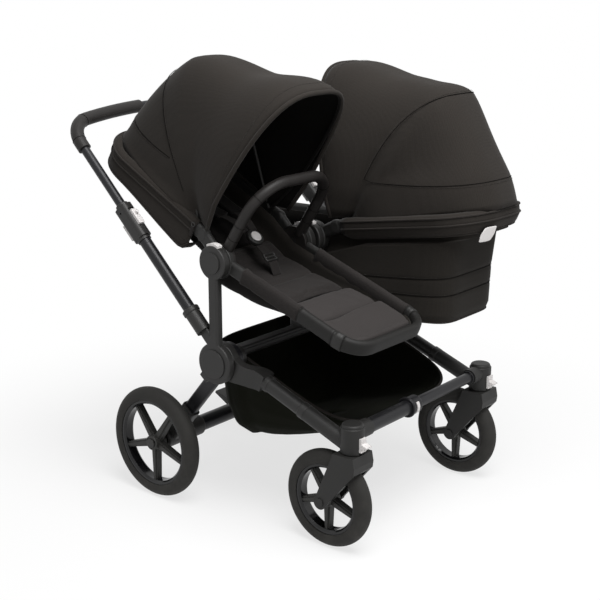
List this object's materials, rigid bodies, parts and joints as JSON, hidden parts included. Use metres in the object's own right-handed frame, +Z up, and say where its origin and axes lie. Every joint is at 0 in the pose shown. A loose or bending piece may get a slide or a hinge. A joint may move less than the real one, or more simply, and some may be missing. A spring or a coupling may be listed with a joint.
{
  "type": "twin pram",
  "caption": "Side-by-side pram with a forward seat and a carrycot on one folding frame, swivelling front casters and an adjustable handlebar.",
  "frame": {"origin": "middle of the floor under the bounding box", "axes": "+Z up, the front faces -Y, the seat is on the -X side and the carrycot on the +X side"},
  "size_m": [0.7408, 1.0447, 1.1371],
  "materials": {
    "charcoal_plastic": "fine grained satin",
    "black_tube": "black anodised satin",
    "grip_leather": "fine grained with stitched seam",
    "light_grey_plastic": "satin",
    "black_fabric": "close woven",
    "seat_fabric": "heathered weave",
    "tyre_rubber": "matt, ribbed",
    "gloss_black": "polished"
  },
  "bodies": {
    "upper_frame": {"right_post": "charcoal_plastic", "left_post": "charcoal_plastic", "centre_posts": "charcoal_plastic", "centre_beam": "charcoal_plastic", "hub_pins": "charcoal_plastic", "right_lower_tube": "black_tube", "left_lower_tube": "black_tube", "right_clamp_housing": "charcoal_plastic", "left_clamp_housing": "charcoal_plastic", "basket": "black_fabric", "cot_frame": "black_tube", "cot_tub": "black_fabric", "cot_mattress": "seat_fabric", "cot_hood": "black_fabric"},
    "handlebar": {"handlebar_tube": "black_tube", "right_grip": "grip_leather", "left_grip": "grip_leather"},
    "front_frame": {"right_front_arm": "charcoal_plastic", "left_front_arm": "charcoal_plastic", "right_caster_housing": "charcoal_plastic", "left_caster_housing": "charcoal_plastic", "front_cross_tube": "black_tube"},
    "rear_frame": {"right_rear_leg": "black_tube", "left_rear_leg": "black_tube", "right_axle_bracket": "charcoal_plastic", "left_axle_bracket": "charcoal_plastic", "rear_cross_tube": "black_tube"},
    "seat": {"seat_frame": "black_tube", "seat_tub": "black_fabric", "seat_cushion": "seat_fabric", "leg_rest": "seat_fabric", "harness": "black_fabric", "buckle": "charcoal_plastic", "seat_hood": "black_fabric"},
    "right_caster": {"right_fork": "charcoal_plastic"},
    "left_caster": {"left_fork": "charcoal_plastic"},
    "right_front_roller": {"right_front_tyre": "tyre_rubber", "right_front_wheel": "gloss_black"},
    "left_front_roller": {"left_front_tyre": "tyre_rubber", "left_front_wheel": "gloss_black"},
    "right_rear_roller": {"right_rear_tyre": "tyre_rubber", "right_rear_wheel": "gloss_black"},
    "left_rear_roller": {"left_rear_tyre": "tyre_rubber", "left_rear_wheel": "gloss_black"},
    "right_height_lever_body": {"right_height_lever": "light_grey_plastic"},
    "right_fold_slider_body": {"right_fold_slider": "light_grey_plastic"},
    "right_swivel_lock_body": {"right_swivel_lock": "light_grey_plastic"},
    "left_height_lever_body": {"left_height_lever": "light_grey_plastic"},
    "left_fold_slider_body": {"left_fold_slider": "light_grey_plastic"},
    "left_swivel_lock_body": {"left_swivel_lock": "light_grey_plastic"},
    "width_lock_button_body": {"width_lock_button": "light_grey_plastic"},
    "brake_pedal_body": {"brake_pedal": "charcoal_plastic"},
    "bumper_bar_body": {"bumper_bar": "grip_leather"},
    "seat_hood_bow_body": {"seat_hood_bow": "black_tube"},
    "cot_hood_bow_body": {"cot_hood_bow": "black_tube"},
    "right_seat_release_body": {"right_seat_release": "light_grey_plastic"},
    "centre_seat_release_body": {"centre_seat_release": "light_grey_plastic"},
    "centre_cot_release_body": {"centre_cot_release": "light_grey_plastic"},
    "left_cot_release_body": {"left_cot_release": "light_grey_plastic"},
    "buckle_button_body": {"buckle_button": "light_grey_plastic"}
  },
  "joints": [
    {"name": "handlebar_height", "type": "slide", "parent": "upper_frame", "child": "handlebar", "axis": [0, 0.7133, 0.7009], "range_m": [-0.06, 0.03]},
    {"name": "right_height_lever_swing", "type": "hinge", "parent": "upper_frame", "child": "right_height_lever_body", "pos_m": [-0.347, 0.27641, 0.71098], "axis": [1, 0, 0], "range_deg": [0, 14], "stiffness_Nm_per_rad": 0.05},
    {"name": "right_fold_slider_travel", "type": "slide", "parent": "upper_frame", "child": "right_fold_slider_body", "axis": [0, 0.7133, 0.7009], "range_m": [0, 0.008], "stiffness_N_per_m": 120},
    {"name": "right_swivel_lock_travel", "type": "slide", "parent": "front_frame", "child": "right_swivel_lock_body", "axis": [0, 0, -1], "range_m": [0, 0.006]},
    {"name": "right_caster_swivel", "type": "hinge", "parent": "front_frame", "child": "right_caster", "pos_m": [-0.282, -0.4025, 0.257], "axis": [0, 0, 1], "continuous": true},
    {"name": "right_front_wheel_spin", "type": "hinge", "parent": "right_caster", "child": "right_front_roller", "pos_m": [-0.282, -0.3355, 0.122], "axis": [1, 0, 0], "continuous": true},
    {"name": "right_rear_wheel_spin", "type": "hinge", "parent": "rear_frame", "child": "right_rear_roller", "pos_m": [-0.347, 0.1905, 0.148], "axis": [1, 0, 0], "continuous": true},
    {"name": "left_height_lever_swing", "type": "hinge", "parent": "upper_frame", "child": "left_height_lever_body", "pos_m": [0.347, 0.27641, 0.71098], "axis": [1, 0, 0], "range_deg": [0, 14], "stiffness_Nm_per_rad": 0.05},
    {"name": "left_fold_slider_travel", "type": "slide", "parent": "upper_frame", "child": "left_fold_slider_body", "axis": [0, 0.7133, 0.7009], "range_m": [0, 0.008], "stiffness_N_per_m": 120},
    {"name": "left_swivel_lock_travel", "type": "slide", "parent": "front_frame", "child": "left_swivel_lock_body", "axis": [0, 0, -1], "range_m": [0, 0.006]},
    {"name": "left_caster_swivel", "type": "hinge", "parent": "front_frame", "child": "left_caster", "pos_m": [0.282, -0.4025, 0.257], "axis": [0, 0, 1], "continuous": true},
    {"name": "left_front_wheel_spin", "type": "hinge", "parent": "left_caster", "child": "left_front_roller", "pos_m": [0.282, -0.3355, 0.122], "axis": [1, 0, 0], "continuous": true},
    {"name": "left_rear_wheel_spin", "type": "hinge", "parent": "rear_frame", "child": "left_rear_roller", "pos_m": [0.347, 0.1905, 0.148], "axis": [1, 0, 0], "continuous": true},
    {"name": "front_fold", "type": "hinge", "parent": "upper_frame", "child": "front_frame", "pos_m": [0, -0.0285, 0.409], "axis": [1, 0, 0], "range_deg": [0, 36]},
    {"name": "rear_fold", "type": "hinge", "parent": "upper_frame", "child": "rear_frame", "pos_m": [0, -0.0285, 0.409], "axis": [-1, 0, 0], "range_deg": [0, 18]},
    {"name": "width_lock_press", "type": "slide", "parent": "front_frame", "child": "width_lock_button_body", "axis": [0, 1, 0], "range_m": [0, 0.003], "stiffness_N_per_m": 300},
    {"name": "brake_press", "type": "hinge", "parent": "rear_frame", "child": "brake_pedal_body", "pos_m": [0, 0.1905, 0.148], "axis": [-1, 0, 0], "range_deg": [0, 25]},
    {"name": "seat_recline", "type": "hinge", "parent": "upper_frame", "child": "seat", "pos_m": [-0.17885, -0.0285, 0.663], "axis": [1, 0, 0], "range_deg": [0, 16]},
    {"name": "bumper_swing", "type": "hinge", "parent": "seat", "child": "bumper_bar_body", "pos_m": [-0.17885, -0.0285, 0.663], "axis": [1, 0, 0], "range_deg": [-15, 25]},
    {"name": "seat_canopy_fold", "type": "hinge", "parent": "seat", "child": "seat_hood_bow_body", "pos_m": [-0.17885, 0.05303, 0.73284], "axis": [-1, 0, 0], "range_deg": [0, 34], "deforming": ["seat_hood"]},
    {"name": "cot_canopy_fold", "type": "hinge", "parent": "upper_frame", "child": "cot_hood_bow_body", "pos_m": [0.17885, -0.12833, 0.70249], "axis": [1, 0, 0], "range_deg": [0, 30], "deforming": ["cot_hood"]},
    {"name": "right_seat_release_press", "type": "slide", "parent": "upper_frame", "child": "right_seat_release_body", "axis": [0, 0, -1], "range_m": [0, 0.004], "stiffness_N_per_m": 400},
    {"name": "centre_seat_release_press", "type": "slide", "parent": "upper_frame", "child": "centre_seat_release_body", "axis": [0, 0, -1], "range_m": [0, 0.004], "stiffness_N_per_m": 400},
    {"name": "centre_cot_release_press", "type": "slide", "parent": "upper_frame", "child": "centre_cot_release_body", "axis": [0, 0, -1], "range_m": [0, 0.004], "stiffness_N_per_m": 400},
    {"name": "left_cot_release_press", "type": "slide", "parent": "upper_frame", "child": "left_cot_release_body", "axis": [0, 0, -1], "range_m": [0, 0.004], "stiffness_N_per_m": 400},
    {"name": "buckle_press", "type": "slide", "parent": "seat", "child": "buckle_button_body", "axis": [0, 0.6691, -0.7431], "range_m": [0, 0.003], "stiffness_N_per_m": 200}
  ],
  "couplings": [
    {"joint": "rear_fold", "follows": "front_fold", "ratio": 0.5}
  ]
}
